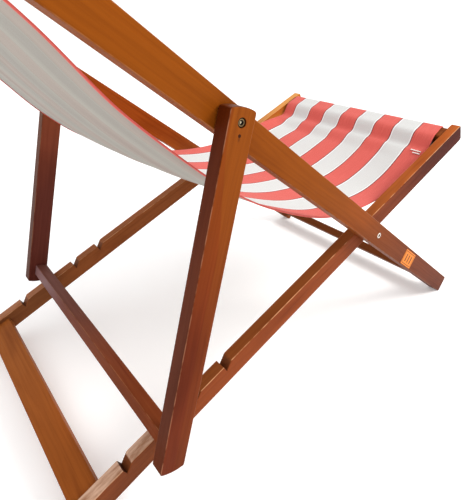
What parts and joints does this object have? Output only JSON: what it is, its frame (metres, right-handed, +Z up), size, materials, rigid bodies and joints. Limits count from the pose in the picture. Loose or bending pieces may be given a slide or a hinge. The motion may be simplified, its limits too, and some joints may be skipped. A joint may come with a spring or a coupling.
{
  "type": "folding deck chair",
  "caption": "Folding wooden deck chair with a striped canvas sling, notched base rails and a hinged prop frame.",
  "frame": {"origin": "centre of the footprint, on the floor", "axes": "+X across the chair to the sitter's left, +Y from the front feet to the backrest, +Z up; the sitter faces -Y"},
  "size_m": [0.592, 1.0292, 0.8416],
  "materials": {
    "long_wood": "reddish brown stain, semi-gloss varnish",
    "base_wood": "reddish brown stain, semi-gloss varnish, worn at the notches",
    "prop_wood": "reddish brown stain, semi-gloss varnish",
    "fittings": "zinc plated, satin",
    "filler": "dark filler",
    "label": "plain orange sticker",
    "canvas": "woven canvas in red and white stripes"
  },
  "bodies": {
    "long_frame": {"long_rail_left": "long_wood", "long_rail_right": "long_wood", "foot_bar": "long_wood", "head_bar": "long_wood", "side_label": "label", "sling": "canvas", "main_pivot_bolt_left": "fittings", "main_pivot_bolt_right": "fittings", "main_pivot_nut_left": "fittings", "main_pivot_nut_right": "fittings", "main_pivot_washer_left": "fittings", "main_pivot_washer_right": "fittings", "prop_pivot_bolt_left": "fittings", "prop_pivot_bolt_right": "fittings", "prop_pivot_nut_left": "fittings", "prop_pivot_nut_right": "fittings", "prop_pivot_washer_left": "fittings", "prop_pivot_washer_right": "fittings"},
    "base_frame": {"base_rail_left": "base_wood", "base_rail_right": "base_wood", "seat_front_bar": "base_wood", "rear_board": "base_wood"},
    "prop_frame": {"prop_leg_left": "prop_wood", "prop_leg_right": "prop_wood", "prop_bar": "prop_wood", "prop_leg_plug_left": "filler", "prop_leg_plug_right": "filler"}
  },
  "joints": [
    {"name": "main_fold", "type": "hinge", "parent": "long_frame", "child": "base_frame", "pos_m": [0, -0.19342, 0.26348], "axis": [1, 0, 0], "range_deg": [0, 50], "deforming": ["sling"]},
    {"name": "prop_swing", "type": "hinge", "parent": "long_frame", "child": "prop_frame", "pos_m": [0, 0.13494, 0.52936], "axis": [1, 0, 0], "range_deg": [0, 109.1]}
  ],
  "couplings": [
    {"joint": "prop_swing", "follows": "main_fold", "ratio": 2.18}
  ]
}
